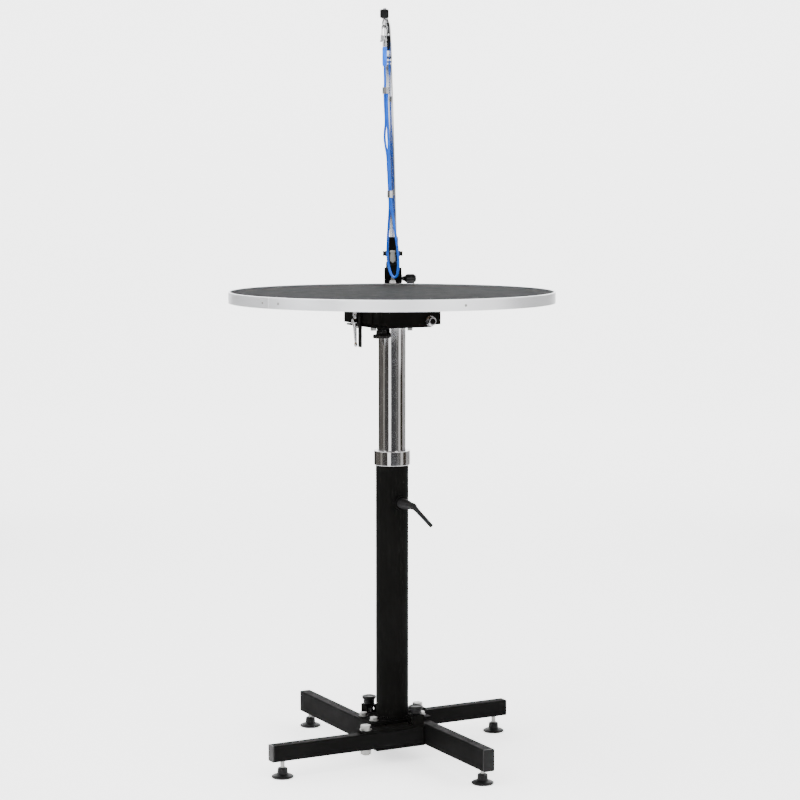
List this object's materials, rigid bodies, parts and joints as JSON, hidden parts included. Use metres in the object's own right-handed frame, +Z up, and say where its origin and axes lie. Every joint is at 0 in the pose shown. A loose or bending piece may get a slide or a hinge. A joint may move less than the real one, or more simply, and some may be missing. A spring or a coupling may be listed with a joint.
{
  "type": "pet grooming table",
  "caption": "Round grooming table on a clamped telescopic column with a folding leg base, a tilting swivel head and a clamp-on arm that carries a noose.",
  "frame": {"origin": "on the floor under the foot pads, on the axis of the column", "axes": "+Z up along the column; +X along the folding leg c; +Y along the fixed leg b"},
  "size_m": [0.6, 0.6, 1.3866],
  "materials": {
    "black": "satin black powder coat",
    "chrome": "polished",
    "zinc": "zinc plated",
    "plastic": "moulded",
    "rubber": "ribbed mat",
    "alu": "satin",
    "blue": "braided cord",
    "nylon": "natural",
    "wood": "plywood"
  },
  "bodies": {
    "base": {"fixed_leg_b": "black", "leg_cap_b": "plastic", "fixed_leg_d": "black", "leg_cap_d": "plastic", "leg_plate": "black", "bottom_plate": "black", "column_plate": "black", "plate_bolt_1": "zinc", "plate_bolt_2": "zinc", "plate_bolt_3": "zinc", "plate_bolt_4": "zinc", "leg_pivot_bolt_a": "zinc", "leg_pivot_bolt_c": "zinc", "plunger_bracket_a": "black", "plunger_spring_a": "zinc", "plunger_bracket_c": "black", "plunger_spring_c": "zinc", "outer_column": "black", "column_collar": "chrome", "guide_bush": "nylon"},
    "leg_a": {"folding_leg_a": "black", "leg_cap_a": "plastic"},
    "leg_c": {"folding_leg_c": "black", "leg_cap_c": "plastic"},
    "foot_a": {"levelling_foot_a": "plastic"},
    "foot_b": {"levelling_foot_b": "plastic"},
    "foot_c": {"levelling_foot_c": "plastic"},
    "foot_d": {"levelling_foot_d": "plastic"},
    "plunger_a": {"plunger_pin_a": "zinc", "plunger_knob_a": "plastic"},
    "plunger_c": {"plunger_pin_c": "zinc", "plunger_knob_c": "plastic"},
    "column_lever": {"clamp_lever": "plastic"},
    "mast": {"inner_column": "chrome", "index_disc": "zinc"},
    "head": {"swivel_head": "black", "tilt_bolt": "black", "tilt_nut": "chrome"},
    "head_plunger": {"head_plunger_pin": "zinc", "head_plunger_knob": "plastic"},
    "top": {"top_frame": "black", "table_board": "wood", "table_mat": "rubber", "edge_band": "alu", "arm_clamp": "black"},
    "latch_bar_body": {"latch_bar": "black"},
    "latch_lever_body": {"latch_lever": "zinc"},
    "jaw_foot": {"clamp_foot": "zinc"},
    "jaw_screw": {"clamp_spindle": "zinc"},
    "jaw_bar": {"tommy_bar": "plastic"},
    "post_knob": {"arm_star_knob": "plastic"},
    "arm": {"arm_tube": "chrome", "arm_end_cap": "plastic", "eye_bolt": "chrome"},
    "snap": {"bolt_snap": "chrome"},
    "snap_trigger": {"snap_bolt": "chrome"},
    "noose": {"noose_sleeve": "blue", "noose_cord": "blue", "noose_crimp": "chrome"},
    "slider": {"noose_slider": "chrome"}
  },
  "joints": [
    {"name": "fold_leg_a", "type": "hinge", "parent": "base", "child": "leg_a", "pos_m": [-0.084, -0.056, 0.046], "axis": [0, 0, -1], "range_deg": [0, 90]},
    {"name": "fold_leg_c", "type": "hinge", "parent": "base", "child": "leg_c", "pos_m": [0.084, 0.056, 0.046], "axis": [0, 0, -1], "range_deg": [0, 90]},
    {"name": "level_foot_a", "type": "slide", "parent": "leg_a", "child": "foot_a", "axis": [0, 0, -1], "range_m": [-0.008, 0.015]},
    {"name": "level_foot_b", "type": "slide", "parent": "base", "child": "foot_b", "axis": [0, 0, -1], "range_m": [-0.008, 0.015]},
    {"name": "level_foot_c", "type": "slide", "parent": "leg_c", "child": "foot_c", "axis": [0, 0, -1], "range_m": [-0.008, 0.015]},
    {"name": "level_foot_d", "type": "slide", "parent": "base", "child": "foot_d", "axis": [0, 0, -1], "range_m": [-0.008, 0.015]},
    {"name": "pull_plunger_a", "type": "slide", "parent": "base", "child": "plunger_a", "axis": [0, 0, 1], "range_m": [0, 0.0075], "stiffness_N_per_m": 900, "springref_m": -0.004, "deforming": ["plunger_spring_a"]},
    {"name": "pull_plunger_c", "type": "slide", "parent": "base", "child": "plunger_c", "axis": [0, 0, 1], "range_m": [0, 0.0075], "stiffness_N_per_m": 900, "springref_m": -0.004, "deforming": ["plunger_spring_c"]},
    {"name": "column_height", "type": "slide", "parent": "base", "child": "mast", "axis": [0, 0, 1], "range_m": [-0.2, 0.12]},
    {"name": "column_clamp", "type": "hinge", "parent": "base", "child": "column_lever", "pos_m": [0, -0.06, 0.4783], "axis": [0, -1, 0], "range_deg": [-60, 110]},
    {"name": "head_turn", "type": "hinge", "parent": "mast", "child": "head", "pos_m": [0, 0, 0.804], "axis": [0, 0, 1], "continuous": true},
    {"name": "head_index_plunger", "type": "slide", "parent": "head", "child": "head_plunger", "axis": [0, 0, -1], "range_m": [0, 0.007], "stiffness_N_per_m": 900, "springref_m": -0.004},
    {"name": "table_tilt", "type": "hinge", "parent": "head", "child": "top", "pos_m": [0.0385, 0, 0.8146], "axis": [0, 1, 0], "range_deg": [0, 90]},
    {"name": "latch_bar_swing", "type": "hinge", "parent": "top", "child": "latch_bar_body", "pos_m": [-0.0652, 0.0013, 0.826], "axis": [0, 1, 0], "range_deg": [0, 25]},
    {"name": "latch_lever_turn", "type": "hinge", "parent": "top", "child": "latch_lever_body", "pos_m": [-0.065, 0.02, 0.823], "axis": [1, 0, 0], "range_deg": [0, 40]},
    {"name": "jaw_clamp", "type": "slide", "parent": "top", "child": "jaw_foot", "axis": [0, 0, 1], "range_m": [0, 0.006]},
    {"name": "jaw_screw_turn", "type": "hinge", "parent": "jaw_foot", "child": "jaw_screw", "pos_m": [0.1304, 0.24597, 0.9], "axis": [0, 0, 1], "range_deg": [0, 1440]},
    {"name": "jaw_bar_slide", "type": "slide", "parent": "jaw_screw", "child": "jaw_bar", "axis": [0.8755, -0.4833, 0], "range_m": [-0.0055, 0.0055]},
    {"name": "post_knob_turn", "type": "hinge", "parent": "top", "child": "post_knob", "pos_m": [0.18245, 0.2699, 0.875], "axis": [0.8755, -0.4833, 0], "continuous": true},
    {"name": "arm_height", "type": "slide", "parent": "top", "child": "arm", "axis": [0, 0, 1], "range_m": [-0.017, 0.1]},
    {"name": "snap_swing", "type": "hinge", "parent": "arm", "child": "snap", "pos_m": [0.02942, 0.08538, 1.3509], "axis": [-0.0157, -0.9999, 0], "range_deg": [-12, 12]},
    {"name": "snap_thumb_bolt", "type": "slide", "parent": "snap", "child": "snap_trigger", "axis": [0, 0, -1], "range_m": [0, 0.0026], "stiffness_N_per_m": 200, "springref_m": -0.003},
    {"name": "noose_swivel", "type": "hinge", "parent": "snap", "child": "noose", "pos_m": [0.02942, 0.08538, 1.3], "axis": [0, 0, 1], "range_deg": [-60, 60]},
    {"name": "noose_slider_slide", "type": "slide", "parent": "noose", "child": "slider", "axis": [0, 0, 1], "range_m": [-0.004, 0.045], "deforming": ["noose_cord"]}
  ],
  "couplings": [
    {"joint": "jaw_screw_turn", "follows": "jaw_clamp", "rad_per_m": 4188.8}
  ]
}
